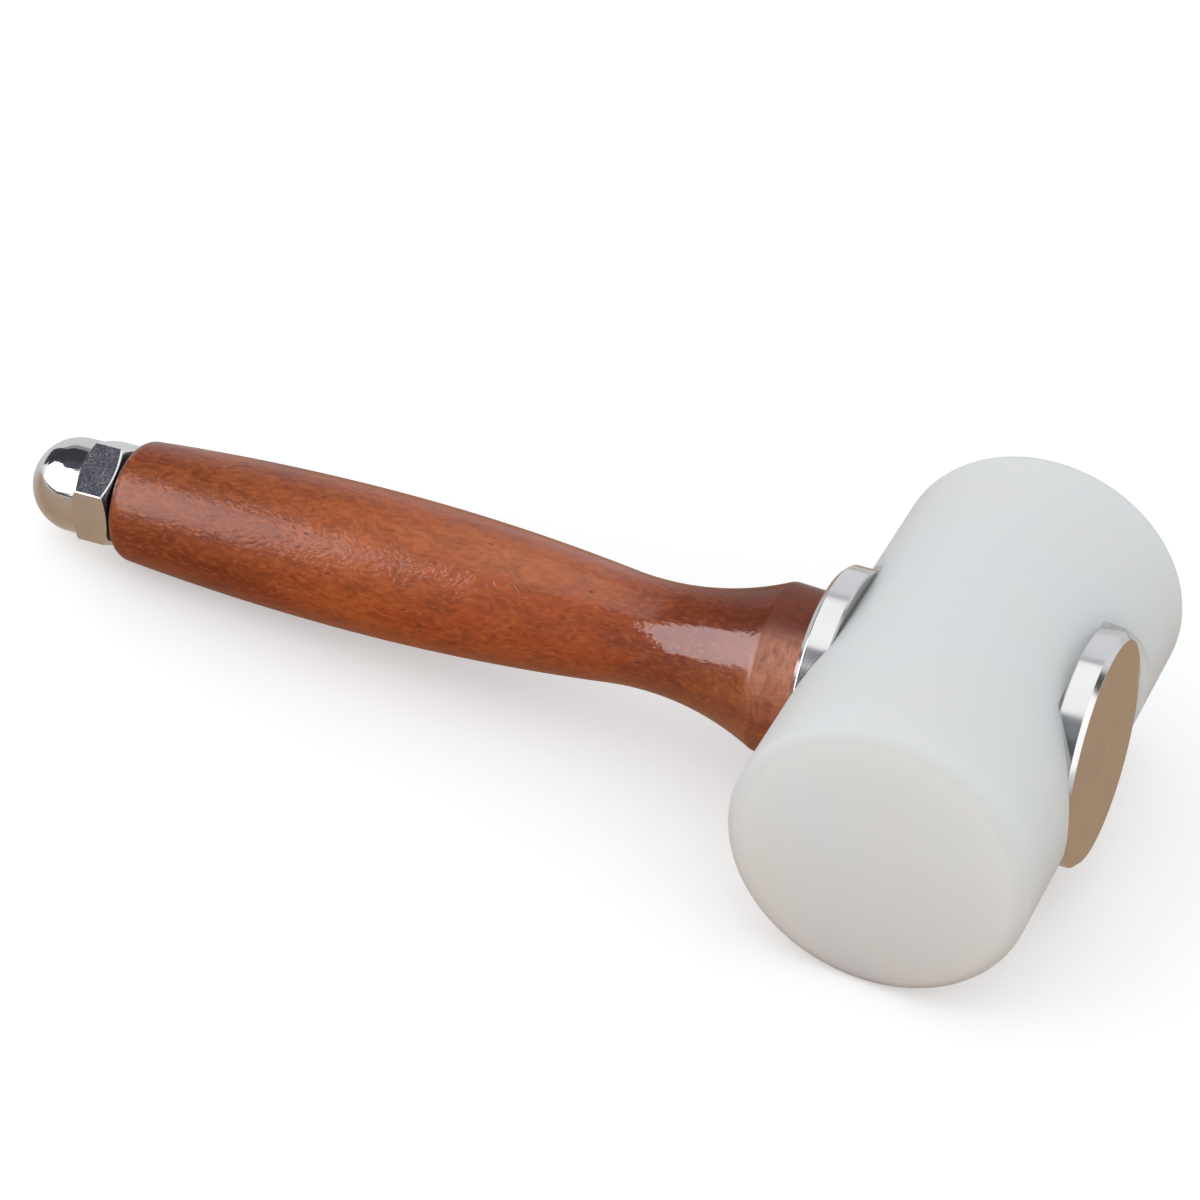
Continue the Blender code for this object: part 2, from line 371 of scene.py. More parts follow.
class Finish(Nodes):
    """The material of a piece, with coordinates in the mallet's own axes."""

    def __init__(self, name):
        super().__init__(bpy.data.materials.new(name))
        object_place = self.add("ShaderNodeTexCoord").outputs["Object"]
        sockets = {"Vector": object_place, "Location": HEAD_CENTRE, "Rotation": (0, -TILT, 0)}
        self.place = self.add("ShaderNodeMapping", sockets, vector_type="TEXTURE").outputs["Vector"]
        parts = self.add("ShaderNodeSeparateXYZ", {"Vector": self.place})
        self.along, self.across, self.height = parts.outputs

    def distance(self, first, second):
        """Distance from an axis, out of the two coordinates across it."""
        squares = self.maths("ADD", self.product(first, first), self.product(second, second))
        return self.maths("POWER", squares, 0.5)

    def stretched(self, place, scale):
        """Coordinates with a scale for each axis. The larger it is, the finer a pattern on them."""
        return self.add("ShaderNodeMapping", {"Vector": place, "Scale": scale}).outputs["Vector"]

    def warped(self, place, scale, amount):
        """Coordinates pushed about by a slow noise, so that a pattern on them runs in waves."""
        push = self.add("ShaderNodeTexNoise", {"Vector": place, "Scale": scale, "Detail": 1.0}).outputs["Color"]
        centred = self.add("ShaderNodeVectorMath", {0: push, 1: (0.5, 0.5, 0.5)}, operation="SUBTRACT")
        scaled = self.add("ShaderNodeVectorMath", {0: centred.outputs[0], "Scale": amount}, operation="SCALE")
        return self.add("ShaderNodeVectorMath", {0: place, 1: scaled.outputs[0]}, operation="ADD").outputs[0]

    def noise(self, place, detail=2.0, roughness=0.5, distortion=0.0, scale=1.0):
        sockets = {
            "Vector": place, "Scale": scale, "Detail": detail, "Roughness": roughness, "Distortion": distortion,
        }
        return self.add("ShaderNodeTexNoise", sockets).outputs["Fac"]

    def bump(self, height, distance, strength=1.0, normal=None):
        sockets = {"Height": height, "Distance": distance, "Strength": strength}
        if normal:
            sockets["Normal"] = normal
        return self.add("ShaderNodeBump", sockets).outputs["Normal"]

    def surface(self, **sockets):
        """Makes the surface shader. The names are those of its sockets, with _ for each space."""
        named = {key.replace("_", " "): value for key, value in sockets.items()}
        return self.show(self.add("ShaderNodeBsdfPrincipled", named).outputs["BSDF"])


# Where the looks of the head change, from its centre: along it, out to its edge, in from its round side, and down
ONTO_STRIKING_END = (0.0388, 0.0408)
OUT_TO_EDGE = (0.0218, 0.0242)
INTO_POCKET = (0.0247, 0.0237)
SIDE_TO_UNDERSIDE = (0.004, -0.024)

# Painted shade: a duller tone on the rounded edges of the striking ends
EDGE_PAINTED_SHADE = (0.62, 0.64, 0.64)
# Painted light: a paler tone inside the disc pockets, against the shade there
POCKET_PAINTED_LIGHT = (0.97, 0.97, 0.95)
# Painted shade: a warmer, darker tone towards the underside
UNDERSIDE_PAINTED_SHADE = (0.72, 0.655, 0.625)


def nylon_finish(settings):
    """Milky cast nylon: soft light through it, a faint cloudiness and fine turning marks."""
    finish = Finish("milky_nylon")
    cloud = finish.noise(finish.place, detail=3, scale=55)
    end = finish.spread(finish.maths("ABSOLUTE", finish.across), *ONTO_STRIKING_END)
    out = finish.distance(finish.along, finish.height)
    edge = finish.product(end, finish.spread(out, *OUT_TO_EDGE))
    pocket = finish.product(finish.spread(end, 0, 1, 1, 0), finish.spread(out, *INTO_POCKET))
    marks = finish.noise(finish.stretched(finish.place, (900, 2600, 900)), detail=2)
    grains = finish.noise(finish.place, detail=4, roughness=0.6, scale=1800)
    return finish.surface(
        Base_Color=finish.layers(
            settings.top_colour,
            (finish.spread(cloud, 0.3, 0.7), settings.deep_colour),
            # Painted shade on the rounded edges of the striking ends
            (finish.product(edge, 0.55), EDGE_PAINTED_SHADE),
            # Painted light inside the disc pockets
            (pocket, POCKET_PAINTED_LIGHT),
            # Painted warm shade towards the underside
            (finish.spread(finish.height, *SIDE_TO_UNDERSIDE, 0, 0.5), UNDERSIDE_PAINTED_SHADE),
        ),
        Roughness=finish.spread(grains, 0.3, 0.7, 0.44, 0.54),
        Subsurface_Weight=finish.spread(pocket, 0, 1, 0.6, 0.9),
        Subsurface_Radius=(1.0, 0.88, 0.78),
        Subsurface_Scale=0.018,
        Specular_IOR_Level=0.14,
        Normal=finish.bump(grains, 0.00001, 0.25, finish.bump(marks, 0.00001, 0.35)),
    )


def steel_finish(settings):
    """Polished steel with the fine circles of a lathe tool round the handle's axis."""
    finish = Finish("polished_steel")
    out = finish.distance(finish.across, finish.height)
    circles = finish.add("ShaderNodeCombineXYZ", {"X": out, "Y": finish.along}).outputs[0]
    lines = finish.noise(finish.stretched(circles, (9000, 9000, 1)), detail=3, roughness=0.7)
    smudge = finish.noise(finish.place, detail=4, roughness=0.55, scale=120)
    return finish.surface(
        Base_Color=finish.layers(settings.steel, (finish.spread(smudge, 0.35, 0.7, 0, 0.35), (0.6, 0.59, 0.58))),
        Metallic=1.0,
        Roughness=finish.spread(smudge, 0.3, 0.75, 0.12, 0.24),
        Normal=finish.bump(lines, 0.000004, 0.5),
    )


# Stretches along the handle over which its looks change, from the head's centre
NECK_TO_COLLAR = (-0.0335, -0.0315)
BUTT_TO_MIDDLE = (-0.128, -0.104)
NECK_TO_MIDDLE = (-0.048, -0.062)
NECK_TO_HOLLOW_SHADE = (-0.052, -0.038)
NECK_TO_SHELTER = (-0.064, -0.048)
SMOOTH_TO_RIPPLED = (-0.045, -0.09)
GLOSSY_TO_SATIN = (-0.055, -0.09)
THICK_TO_THIN_COAT = (-0.06, -0.10)
SIDE_TO_BUTT_FACE = (-0.1506, -0.1512)

SCRATCH_AND_SHEEN_TONE = (0.80, 0.33, 0.18)
PORE_TONE = (0.05, 0.008, 0.004)
# Painted shadow on the butt's face, where the nut hides it
BUTT_FACE_PAINTED_SHADOW = (0.02, 0.006, 0.004)


def wood_finish(settings):
    """Stained hardwood under varnish: soft bands, short wavy flecks along the grain and a few dark pores."""
    finish = Finish("varnished_wood")
    place, along, height = finish.place, finish.along, finish.height
    upward = finish.maths("DIVIDE", height, finish.distance(finish.across, height))
    wavy = finish.warped(place, 140, 0.004)
    bands = finish.noise(finish.stretched(place, (20, 80, 80)), detail=2, distortion=0.6)
    mottle = finish.noise(finish.stretched(wavy, (160, 420, 420)), detail=2, roughness=0.6)
    flecks = finish.noise(finish.stretched(wavy, (620, 1500, 1500)), detail=1, distortion=0.3)
    fibres = finish.noise(finish.stretched(wavy, (170, 2600, 2600)), detail=1)

    cells = finish.add("ShaderNodeTexVoronoi", {"Vector": finish.stretched(wavy, (230, 900, 900)), "Scale": 1.0})
    rare = finish.spread(finish.noise(place, detail=1, scale=90), 0.56, 0.66)
    pores = finish.product(finish.spread(cells.outputs["Distance"], 0.1, 0.2, 1, 0), rare)

    collar = finish.spread(along, *NECK_TO_COLLAR)
    paler_middle = finish.product(finish.spread(along, *BUTT_TO_MIDDLE), finish.spread(along, *NECK_TO_MIDDLE))
    # Painted shade on the upper side of the neck's hollow
    painted_hollow_shade = finish.product(finish.spread(along, *NECK_TO_HOLLOW_SHADE), finish.spread(upward, 0.78, 0.90))
    turned = finish.noise(finish.stretched(wavy, (1300, 420, 420)), detail=4, roughness=0.7)
    # The collar's pale scratches are real, and are kept to a band at mid-height as a painted sheen
    lower_than_top = finish.spread(height, 0.0130, 0.0110)
    higher_than_side = finish.spread(height, -0.002, 0.007, 0.2, 1)
    scratches_and_sheen = finish.product(collar, finish.spread(turned, 0.35, 0.7, 0.1, 0.6), lower_than_top, higher_than_side)
    tone = finish.layers(
        settings.body,
        # Darker towards the butt and the neck, paler in the middle
        (finish.spread(paler_middle, 0, 1, 0.6, 0.04), settings.dark),
        (finish.spread(bands, 0.36, 0.64, 0, 0.4), settings.light),
        (finish.spread(mottle, 0.45, 0.68, 0, 0.4), settings.dark),
        (finish.spread(fibres, 0.45, 0.7, 0, 0.2), settings.dark),
        (finish.spread(flecks, 0.52, 0.75, 0, 0.35), settings.light),
        (finish.spread(flecks, 0.46, 0.3, 0, 0.35), settings.dark),
        # Painted shade in the neck's hollow
        (finish.product(painted_hollow_shade, 0.7), settings.dark),
        # Painted light: the top of the middle stretch is paler
        (finish.product(paler_middle, finish.spread(height, -0.002, 0.010, 0, 0.16)), settings.light),
        # Real scratches on the collar, brightest at mid-height as a painted sheen
        (scratches_and_sheen, SCRATCH_AND_SHEEN_TONE),
        (finish.product(pores, 0.8), PORE_TONE),
        # Painted shadow on the butt's face under the nut
        (finish.spread(along, *SIDE_TO_BUTT_FACE), BUTT_FACE_PAINTED_SHADOW),
    )

    uneven = finish.spread(along, *SMOOTH_TO_RIPPLED, 0.25, 1.0)
    ripple = finish.noise(finish.stretched(wavy, (800, 1300, 1300)), detail=2)
    sag = finish.noise(finish.stretched(place, (60, 130, 130)), detail=1)
    coat = finish.bump(ripple, 0.00014, uneven)
    coat = finish.bump(sag, 0.0004, finish.product(uneven, 0.3), coat)
    grain = finish.bump(finish.maths("SUBTRACT", finish.product(flecks, 0.5), pores), 0.0001, 0.6)
    sheltered = finish.product(finish.spread(along, *NECK_TO_SHELTER), finish.spread(upward, 0.86, 0.95))
    coated = finish.product(
        finish.spread(along, *THICK_TO_THIN_COAT, 1.0, 0.48),
        finish.spread(sheltered, 0, 1, 1, 0.3),
        finish.spread(height, -0.009, 0.001, 0.4, 1),
    )
    satin = finish.spread(along, *GLOSSY_TO_SATIN, 0.08, 0.15)
    return finish.surface(
        Base_Color=tone,
        Roughness=finish.spread(flecks, 0.3, 0.7, 0.4, 0.55),
        Specular_IOR_Level=0.12,
        Coat_Weight=coated,
        Coat_Roughness=finish.maths("ADD", satin, finish.product(collar, 0.3)),
        Coat_IOR=1.5,
        Coat_Normal=coat,
        Normal=grain,
    )


# Where the nut's dome ends and its flats begin, from the head's centre
DOME_TO_FLATS = (-0.15915, -0.15895)


def plating_finish(settings):
    """Bright plating over steel, a little uneven, with fine pits on the flats."""
    finish = Finish("bright_plating")
    wear = finish.noise(finish.place, detail=4, roughness=0.6, scale=260)
    pits = finish.noise(finish.place, detail=2, scale=2400)
    flats = finish.spread(finish.along, *DOME_TO_FLATS)
    rough = finish.product(flats, finish.spread(pits, 0.35, 0.65, 0.0, 0.09))
    return finish.surface(
        Base_Color=finish.layers(settings.plating, (finish.spread(wear, 0.4, 0.7, 0, 0.4), (0.62, 0.61, 0.6))),
        Metallic=1.0,
        Roughness=finish.maths("ADD", finish.spread(wear, 0.3, 0.7, 0.06, 0.12), rough),
        Normal=finish.bump(pits, 0.00002, finish.spread(flats, 0, 1, 0.04, 0.09)),
    )


def rod_finish():
    """Plain steel bar, with the pitch of its threads as fine rings."""
    finish = Finish("rod_steel")
    on_the_axis = finish.stretched(finish.place, (1, 0, 0))
    rings = finish.add("ShaderNodeTexWave", {"Vector": on_the_axis, "Scale": 210.0}, bands_direction="X")
    wear = finish.noise(finish.place, detail=4, scale=400)
    return finish.surface(
        Base_Color=finish.layers((0.42, 0.42, 0.41), (finish.spread(wear, 0.3, 0.7), (0.55, 0.54, 0.53))),
        Metallic=1.0,
        Roughness=finish.spread(wear, 0.3, 0.7, 0.3, 0.45),
        Normal=finish.bump(rings.outputs["Fac"], 0.0002, 0.6),
    )


# Pieces


class MALLET_OT_head(bpy.types.Operator):
    """Model the nylon head with its two round pockets"""

    bl_idname = "mallet.head"
    bl_label = "Nylon head"

    def execute(self, context):
        head = context.scene.mallet_head
        discs = context.scene.mallet_discs
        clear_selection()
        bpy.ops.mesh.primitive_cylinder_add(
            vertices=ROUND_STEPS, radius=head.radius, depth=2 * HEAD_HALF_LENGTH, rotation=(math.pi / 2, 0, 0)
        )
        piece = context.object
        piece.name = "nylon_head_shell"
        bpy.ops.object.transform_apply(location=False, rotation=True, scale=False)
        end = HEAD_HALF_LENGTH - ON_THE_LINE

        def round_the_end(edge):
            first, second = (vertex.co.y for vertex in edge.verts)
            return abs(first) > end and abs(second) > end and first * second > 0

        bevel_edges(piece, round_the_end, head.edge, segments=8)

        floor = head.radius - head.pocket_depth
        outside = head.radius + head.edge
        for side in (1, -1):
            sweep = math.asin((outside - floor) / head.flare)
            centre = (0, head.pocket_radius + head.flare)
            wall = arc(centre, head.flare, -math.pi / 2, sweep - math.pi / 2, WALL_ARC)
            profile = [(floor, 0), *((floor + along, out) for along, out in wall), (outside, 0)]
            combine(piece, spin_profile("pocket", facing(side, profile)), "DIFFERENCE")
        bore_radius = context.scene.mallet_handle.bore
        reach = floor + discs.thickness
        hole = [(-reach, 0), (-reach, bore_radius), (reach, bore_radius), (reach, 0)]
        combine(piece, spin_profile("bore", hole, BORE_STEPS), "DIFFERENCE")
        finish_piece(piece, nylon_finish(head), "nylon_head")
        return {"FINISHED"}


class MALLET_OT_discs(bpy.types.Operator):
    """Model the two steel clamp discs"""

    bl_idname = "mallet.discs"
    bl_label = "Steel discs"

    def execute(self, context):
        discs = context.scene.mallet_discs
        steel = steel_finish(discs)
        bore = context.scene.mallet_handle.bore
        face = discs.seat + discs.thickness
        rim = [
            (discs.seat, discs.radius - discs.back_chamfer),
            (discs.seat + discs.back_chamfer, discs.radius),
            (face - discs.chamfer, discs.radius),
            (face, discs.radius - discs.chamfer),
        ]
        # A little more than the chamfer, so that both of its circles lie within it
        near = 1.1 * discs.chamfer

        def on_the_chamfer(edge):
            """Whether the edge is one of the two circles that bound the outer chamfer."""
            first, second = (vertex.co for vertex in edge.verts)
            level = abs(first.x - second.x) < ON_THE_LINE
            outer = min(math.hypot(end.y, end.z) for end in (first, second)) > discs.radius - near
            return level and outer and abs(first.x) > face - near

        for name, side in (("top_disc", 1), ("handle_disc", -1)):
            if side > 0:
                profile = [(discs.seat, 0), *rim, (face, 0)]
            else:
                profile = [(discs.seat, bore), *rim, (face, bore), (discs.seat, bore)]
            piece = spin_profile(f"{name}_plate", facing(side, profile))
            bevel_edges(piece, on_the_chamfer, discs.glint, segments=2)
            finish_piece(piece, steel, name)
        return {"FINISHED"}


def handle_outline(handle):
    """The handle's outer side from the collar to the butt, as (distance from the disc, radius)."""
    drop = handle.belly - handle.neck
    rise = handle.cove - (handle.ridge - handle.neck)
    neck_at = handle.ridge_distance + math.sqrt(handle.cove**2 - rise**2)
    span = handle.belly_distance - neck_at
    front = (span**2 + drop**2) / (2 * drop) - handle.cove
    lean = math.asin(span / (front + handle.cove))
    flare = math.acos(rise / handle.cove)
    up, down = math.pi / 2, -math.pi / 2
    cove = arc((neck_at, handle.neck + handle.cove), handle.cove, down - flare, down + lean, COVE_ARC)
    sweep = arc((handle.belly_distance, handle.belly - front), front, up + lean, up, FRONT_ARC)

    back_span = handle.length - handle.belly_distance
    back_drop = handle.belly - handle.butt
    back = (back_span**2 + back_drop**2) / (2 * back_drop)
    edge_at = handle.length - handle.butt_edge
    edge_lean = math.asin((back_span - handle.butt_edge) / (back - handle.butt_edge))
    edge_out = handle.belly - back + (back - handle.butt_edge) * math.cos(edge_lean)
    tail = arc((handle.belly_distance, handle.belly - back), back, up, up - edge_lean, BACK_ARC)
    edge = arc((edge_at, edge_out), handle.butt_edge, up - edge_lean, 0, BUTT_EDGE_ARC)
    return [(0, handle.collar), *cove, *sweep[1:], *tail[1:], *edge[1:]]


class MALLET_OT_handle(bpy.types.Operator):
    """Model the turned wooden handle"""

    bl_idname = "mallet.handle"
    bl_label = "Wooden handle"

    def execute(self, context):
        handle = context.scene.mallet_handle
        outline = [(0, handle.bore), *handle_outline(handle), (handle.length, handle.bore), (0, handle.bore)]
        profile = [(-handle.seat - along, out) for along, out in outline]
        piece = spin_profile("handle_turning", profile, HANDLE_STEPS)
        ridge_at = handle.seat + handle.ridge_distance

        def on_the_ridge(edge):
            return all(abs(abs(vertex.co.x) - ridge_at) < ON_THE_LINE for vertex in edge.verts)

        bevel_edges(piece, on_the_ridge, handle.ridge_softening, segments=3)
        finish_piece(piece, wood_finish(handle), "wood_handle", smooth_angle=40)
        return {"FINISHED"}


class MALLET_OT_nut(bpy.types.Operator):
    """Model the dome nut at the butt"""

    bl_idname = "mallet.nut"
    bl_label = "Dome nut"

    def execute(self, context):
        nut = context.scene.mallet_nut
        clear_selection()
        corner = nut.across_flats / 2 / math.cos(math.pi / 6)
        bpy.ops.mesh.primitive_cylinder_add(
            vertices=6,
            radius=corner,
            depth=nut.hex_height,
            location=(-nut.seat - nut.hex_height / 2, 0, 0),
            rotation=(0, math.pi / 2, 0),
        )
        piece = context.object
        piece.name = "dome_nut_body"
        bpy.ops.object.transform_apply(location=True, rotation=True, scale=True)
        turn_to_corner_up(piece)
        middle_at = nut.seat + nut.hex_height / 2
        outer_at = nut.seat + nut.hex_height
        # The cones that chamfer the corners meet outside them
        widest = corner * 1.3
        drop = (widest - nut.face) * math.tan(NUT_CHAMFER_ANGLE)
        cone = [
            (nut.seat, 0),
            (nut.seat, nut.face),
            (min(nut.seat + drop, middle_at), widest),
            (max(outer_at - drop, middle_at), widest),
            (outer_at, nut.face),
            (outer_at, 0),
        ]
        combine(piece, spin_profile("nut_chamfer", facing(-1, cone)), "INTERSECT")
        bevel_edges(piece, lambda edge: edge.calc_face_angle(0) > SHARP_EDGE_ANGLE, nut.glint, segments=2)
        dome_at = nut.seat + nut.height - nut.dome
        cap = [(middle_at, 0), (middle_at, nut.dome), *arc((dome_at, 0), nut.dome, math.pi / 2, 0, DOME_ARC)]
        combine(piece, spin_profile("nut_dome", facing(-1, cap), DOME_STEPS), "UNION")
        finish_piece(piece, plating_finish(nut), "dome_nut")
        return {"FINISHED"}


def turn_to_corner_up(piece):
    """Turns a six-sided body about X until two of its corners point up and down."""
    highest = max(piece.data.vertices, key=lambda vertex: vertex.co.z).co
    angle = math.atan2(highest.y, highest.z)
    bpy.ops.object.mode_set(mode="EDIT")
    bpy.ops.mesh.select_all(action="SELECT")
    bpy.ops.transform.rotate(value=-angle, orient_axis="X", center_override=(0, 0, 0))
    bpy.ops.object.mode_set(mode="OBJECT")


class MALLET_OT_rod(bpy.types.Operator):
    """Finish the tie rod that runs inside the mallet"""

    bl_idname = "mallet.rod"
    bl_label = "Tie rod"

    def execute(self, context):
        rod = frame["nodes"]["tie_rod"]
        rod.data.materials.clear()
        rod.data.materials.append(rod_finish())
        return {"FINISHED"}


# Stage

ALL_RAYS = ("camera", "diffuse", "glossy", "transmission", "shadow")

# Light that the floor adds for the camera alone, so that it is white beyond the mallet's shadow
FLOOR_LIFT = 0.37

# The sheets under the mallet, from the lowest up
FLOOR_LEVEL = -0.0001
MAT_LEVEL = -0.00006
WORKTOP_LEVEL = -0.00005

# The worktop's left part turns from grey to tan at the handle, and the haze lies further to the front
WORKTOP_GREY = (0.66, 0.65, 0.64)
GREY_TO_TAN = (0.015, -0.012)
WORKTOP_HAZE = ((-0.002, -0.035, (0.47, 0.35, 0.27)), (-0.03, -0.6, (0.61, 0.57, 0.53)))

# Strength of the soft light from all round
WORLD_FILL = 0.80

# Lamps and panels stand on an arch over the handle. Each row has a name, the distance from the X axis, the
# lowest and highest angle in degrees, counted up from the front, the first and last place along X, and the
# light: how strong a lamp is and its colour, or a panel's colour.
ARCH_LAMPS = (
    ("window_light", 1.25, 10, 78, -1.5, -0.42, 0.9, (0.97, 0.98, 1.0)),
    ("front_fill", 1.25, 2, 20, -0.3, 1.0, 1.1, (1.0, 0.98, 0.96)),
    ("right_fill", 1.25, 5, 60, 0.9, 1.9, 0.15, (1.0, 0.99, 0.97)),
)
ARCH_PANELS = (
    ("overhead", 1.2, 64, 123, -0.64, 0.9, (1.19, 1.21, 1.25)),
    ("front_shade_high", 1.25, 42, 64, -0.90, 1.4, (0.17, 0.19, 0.215)),
    ("front_shade", 1.25, 24, 42, -0.90, 1.4, (0.08, 0.09, 0.10)),
    ("front_shade_low", 1.25, 6, 24, -0.90, 1.4, (0.22, 0.235, 0.26)),
    ("horizon_shade", 1.2, 0, 6, -6, 1.4, (0.07, 0.07, 0.075)),
    ("left_shade", 1.3, 50, 133, -6, -0.55, (0.05, 0.05, 0.06)),
    ("facet_shade", 1.25, 72, 90, -1.0, -0.56, (0.075, 0.08, 0.11)),
    ("left_strip", 1.2, 131, 144, -2, -0.60, (0.34, 0.34, 0.37)),
    ("left_glow", 1.2, 144, 179, -2, -0.60, (0.75, 0.75, 0.78)),
    ("back_strip", 1.2, 123, 129, -0.64, 1.4, (0.42, 0.43, 0.46)),
    ("back_wall", 1.2, 129, 179, -0.60, 2.2, (0.82, 0.83, 0.88)),
)

# The window is a stack of panels with slanted right ends: lowest and highest angle, and the end at each
WINDOW_SHADE = (4.9, 4.6, 4.8)
WINDOW_DISTANCE = 1.2
WINDOW_PANELS = (
    (8, 22, (-0.67, -0.63)),
    (22, 34, (-0.63, -0.55)),
    (34, 45, (-0.55, -0.44)),
    (45, 55, (-0.44, -0.52)),
    (55, 66, (-0.52, -0.76)),
    (66, 78, (-0.76, -1.15)),
    (78, 90, (-1.15, -2.20)),
)
FAR_LEFT = -6


def stage_card(name, size, location, turn, material, seen_by=("glossy",)):
    """A flat panel of the stage, which only the named kinds of ray see."""
    clear_selection()
    bpy.ops.mesh.primitive_plane_add(size=1, location=location, rotation=turn)
    card = bpy.context.object
    card.name = name
    card.scale = (*size, 1)
    card.data.materials.append(material)
    for ray in ALL_RAYS:
        setattr(card, f"visible_{ray}", ray in seen_by)
    return card


def arch_place(distance, low, high, start, end):
    """Size, place and turn of a panel in the arch over the handle."""
    angle = math.radians((low + high) / 2)
    depth = 2 * distance * math.tan(math.radians(high - low) / 2)
    location = ((start + end) / 2, -distance * math.cos(angle), distance * math.sin(angle))
    return (end - start, depth), location, (math.pi / 2 - angle, 0, 0)


def slanted_card(name, distance, low, high, start, ends, material):
    """A panel of the arch whose right end leans, with one place at its low side and one at its high side."""
    widest = max(ends)
    card = stage_card(name, *arch_place(distance, low, high, start, widest), material)
    for vertex in card.data.vertices:
        if vertex.co.x > 0:
            vertex.co.x = (ends[vertex.co.y > 0] - start) / (widest - start) - 0.5


def glowing(name, shade):
    nodes = Nodes(bpy.data.materials.new(name))
    return nodes.show(nodes.add("ShaderNodeEmission", {"Color": shade}).outputs[0])


def floor_material():
    """White to the eye, and still takes the mallet's shadow."""
    nodes = Nodes(bpy.data.materials.new("pale_floor"))
    cloth = nodes.add("ShaderNodeBsdfDiffuse", {"Color": (0.8, 0.8, 0.8)})
    seen = nodes.add("ShaderNodeLightPath").outputs["Is Camera Ray"]
    lift = nodes.add("ShaderNodeEmission", {"Strength": nodes.product(seen, FLOOR_LIFT)})
    return nodes.show(nodes.add("ShaderNodeAddShader", {0: cloth.outputs[0], 1: lift.outputs[0]}).outputs[0])


def worktop_material(shade, steps=()):
    """Lit from above, and nothing from below, so that the floor under it stays white.

    Metal sees it evenly lit, and each step (near, far, colour) blends its colour in along Y.
    """
    nodes = Nodes(bpy.data.materials.new("tan_worktop"))
    lit = nodes.add("ShaderNodeBsdfDiffuse", {"Color": shade})
    side = nodes.add("ShaderNodeNewGeometry")
    depth = nodes.add("ShaderNodeSeparateXYZ", {0: side.outputs["Position"]}).outputs["Y"]
    seen = nodes.layers(shade, *((nodes.spread(depth, near, far), haze) for near, far, haze in steps))
    even = nodes.add("ShaderNodeEmission", {"Color": seen})
    in_metal = nodes.add("ShaderNodeLightPath").outputs["Is Glossy Ray"]
    tan = nodes.add("ShaderNodeMixShader", {0: in_metal, 1: lit.outputs[0], 2: even.outputs[0]})
    clear = nodes.add("ShaderNodeBsdfTransparent")
    sockets = {0: side.outputs["Backfacing"], 1: tan.outputs[0], 2: clear.outputs[0]}
    return nodes.show(nodes.add("ShaderNodeMixShader", sockets).outputs[0])


def white_world(scene):
    """Soft light from all round, seen as plain white by the camera and in metal."""
    scene.world = bpy.data.worlds.new("soft_room")
    nodes = Nodes(scene.world)
    rays = nodes.add("ShaderNodeLightPath")
    seen = rays.outputs["Is Camera Ray"]
    for kind in ("Is Glossy Ray", "Is Transmission Ray"):
        seen = nodes.maths("MAXIMUM", seen, rays.outputs[kind])
    level = nodes.spread(seen, 0, 1, WORLD_FILL, 1)
    sky = nodes.add("ShaderNodeBackground", {"Color": (0.95, 0.98, 1.0), "Strength": level})
    nodes.show(sky.outputs[0], "ShaderNodeOutputWorld")


def arch_lamp(scene, name, distance, low, high, start, end, radiance, shade):
    """A lamp of the arch, which neither the camera nor a reflection sees."""
    size, location, turn = arch_place(distance, low, high, start, end)
    data = bpy.data.lights.new(name, "AREA")
    data.shape = "RECTANGLE"
    data.size, data.size_y = size
    data.energy = radiance * math.pi * size[0] * size[1]
    data.color = shade
    lamp = bpy.data.objects.new(name, data)
    scene.collection.objects.link(lamp)
    lamp.location = location
    lamp.rotation_euler = turn
    lamp.visible_camera = False
    lamp.visible_glossy = False


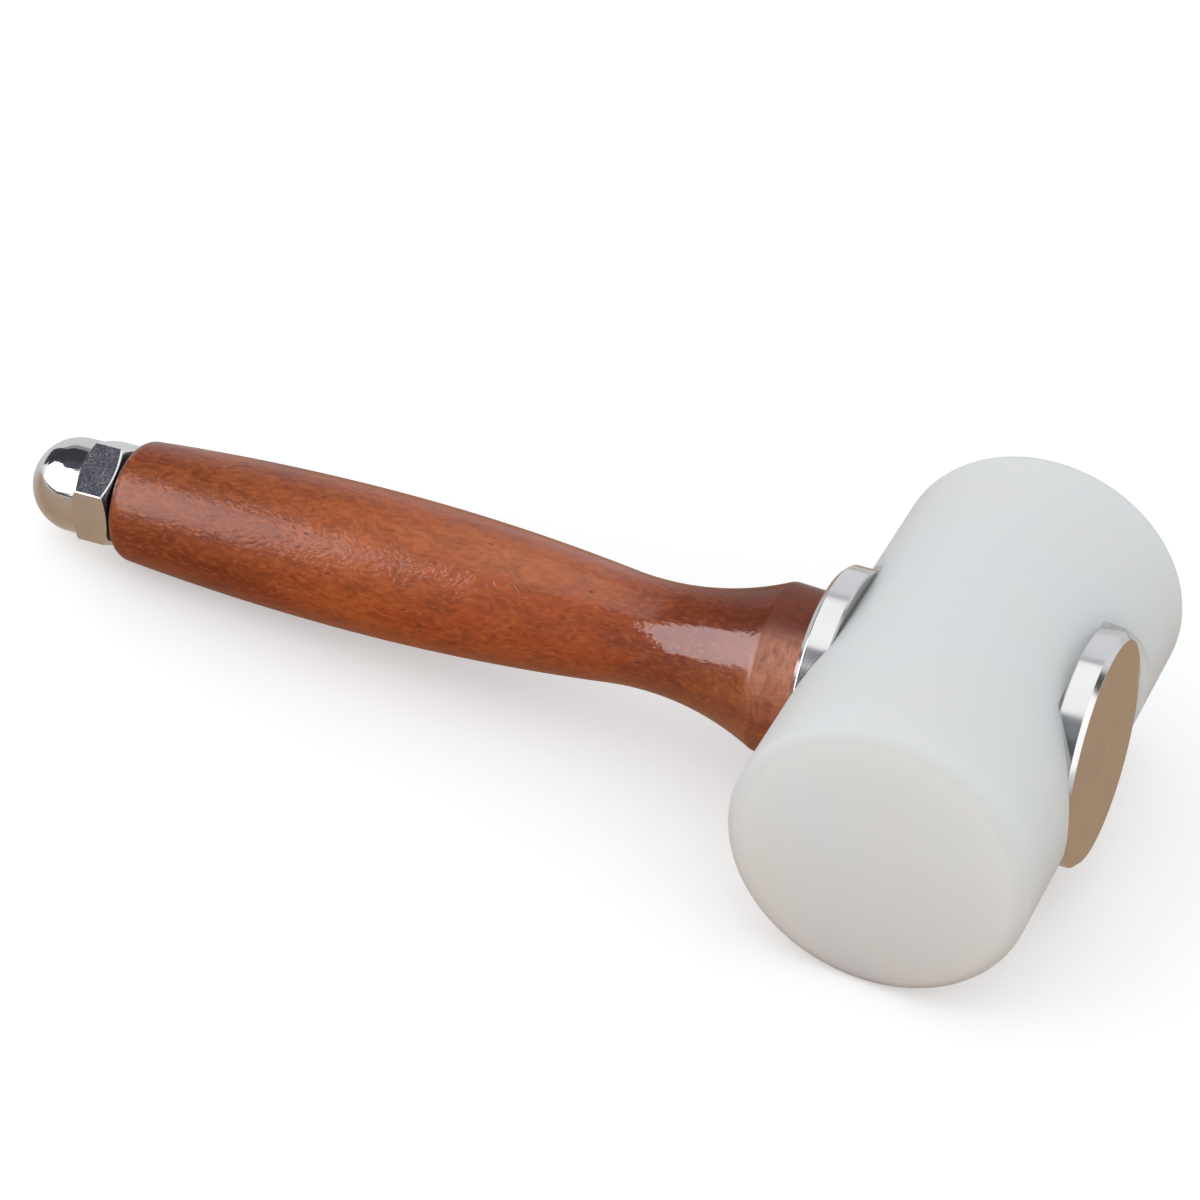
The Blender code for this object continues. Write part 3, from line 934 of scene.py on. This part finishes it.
class MALLET_OT_stage(bpy.types.Operator):
    """Set up the floor, the light and the camera"""

    bl_idname = "mallet.stage"
    bl_label = "Stage"

    def execute(self, context):
        stage = context.scene.mallet_stage
        scene = context.scene
        flat = (0, 0, 0)
        stage_card("floor", (8, 8), (0, 0, FLOOR_LEVEL), flat, floor_material(), ALL_RAYS)
        mat = worktop_material(stage.mat)
        stage_card("mat", (0.30, 0.26), (0.02, -0.03, MAT_LEVEL), flat, mat, ("diffuse",))
        left = worktop_material(WORKTOP_GREY, ((*GREY_TO_TAN, stage.table), *WORKTOP_HAZE))
        back = worktop_material(stage.table)
        right = worktop_material(stage.table, WORKTOP_HAZE)
        stage_card("worktop_left", (0.30, 0.83), (-0.18, -0.395, WORKTOP_LEVEL), flat, left)
        stage_card("worktop_back", (0.06, 0.79), (-0.06, 0.405, WORKTOP_LEVEL), flat, back)
        stage_card("worktop_right", (0.26, 0.95), (0.10, -0.335, WORKTOP_LEVEL), flat, right)

        for lamp in ARCH_LAMPS:
            arch_lamp(scene, *lamp)
        window = glowing("window", WINDOW_SHADE)
        for low, high, ends in WINDOW_PANELS:
            slanted_card(f"window_{low}", WINDOW_DISTANCE, low, high, FAR_LEFT, ends, window)
        shade = glowing("left_back_shade", (0.06, 0.06, 0.07))
        slanted_card("left_back_shade", 1.1, 131, 179, FAR_LEFT, (-1.2, -1.75), shade)
        for name, distance, low, high, start, end, colour_seen in ARCH_PANELS:
            stage_card(name, *arch_place(distance, low, high, start, end), glowing(name, colour_seen))
        upright = (0, -math.pi / 2, 0)
        stage_card("right_shade", (0.7, 0.95), (1.3, 0.94, 0.78), upright, glowing("right_shade", (0.08, 0.08, 0.06)))
        stage_card("right_glow", (1.0, 1.1), (1.3, -0.08, 0.5), upright, glowing("right_glow", (1.4, 1.4, 1.4)))

        white_world(scene)
        scene.view_settings.view_transform = "Standard"
        add_camera(scene, stage)
        return {"FINISHED"}


def add_camera(scene, stage):
    data = bpy.data.cameras.new("camera")
    data.lens = stage.lens
    data.sensor_width = SENSOR_WIDTH_MM
    data.clip_start = 0.01
    camera = bpy.data.objects.new("camera", data)
    scene.collection.objects.link(camera)
    turn = Matrix.Rotation(stage.azimuth, 4, "Z")
    raised = turn @ Matrix.Rotation(math.pi / 2 - stage.elevation, 4, "X")
    view = raised @ Matrix.Rotation(stage.roll, 4, "Z")
    place = Vector(stage.aim) + stage.distance * (view.to_3x3() @ Vector((0, 0, 1)))
    camera.matrix_world = Matrix.Translation(place) @ view
    scene.camera = camera


OPERATORS = (MALLET_OT_head, MALLET_OT_discs, MALLET_OT_handle, MALLET_OT_nut, MALLET_OT_rod, MALLET_OT_stage)


class MALLET_PT_panel(bpy.types.Panel):
    """Sidebar panel with the mallet's sizes, colours and operators"""

    bl_label = "Leathercraft mallet"
    bl_idname = "MALLET_PT_panel"
    bl_space_type = "VIEW_3D"
    bl_region_type = "UI"
    bl_category = "Mallet"

    def draw(self, context):
        for name in SETTINGS:
            box = self.layout.box()
            for prop in getattr(context.scene, name).bl_rna.properties:
                if prop.identifier not in ("rna_type", "name"):
                    box.prop(getattr(context.scene, name), prop.identifier)
        for operator in OPERATORS:
            self.layout.operator(operator.bl_idname)


def register():
    for name, group in SETTINGS.items():
        bpy.utils.register_class(group)
        setattr(bpy.types.Scene, name, bpy.props.PointerProperty(type=group))
    for cls in (*OPERATORS, MALLET_PT_panel):
        bpy.utils.register_class(cls)


def unregister():
    for cls in reversed((*OPERATORS, MALLET_PT_panel)):
        bpy.utils.unregister_class(cls)
    for name, group in SETTINGS.items():
        delattr(bpy.types.Scene, name)
        bpy.utils.unregister_class(group)


def main():
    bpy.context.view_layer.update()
    register()
    bpy.ops.mallet.head()
    bpy.ops.mallet.discs()
    bpy.ops.mallet.handle()
    bpy.ops.mallet.nut()
    bpy.ops.mallet.rod()
    bpy.ops.mallet.stage()


if __name__ == "__main__":
    main()
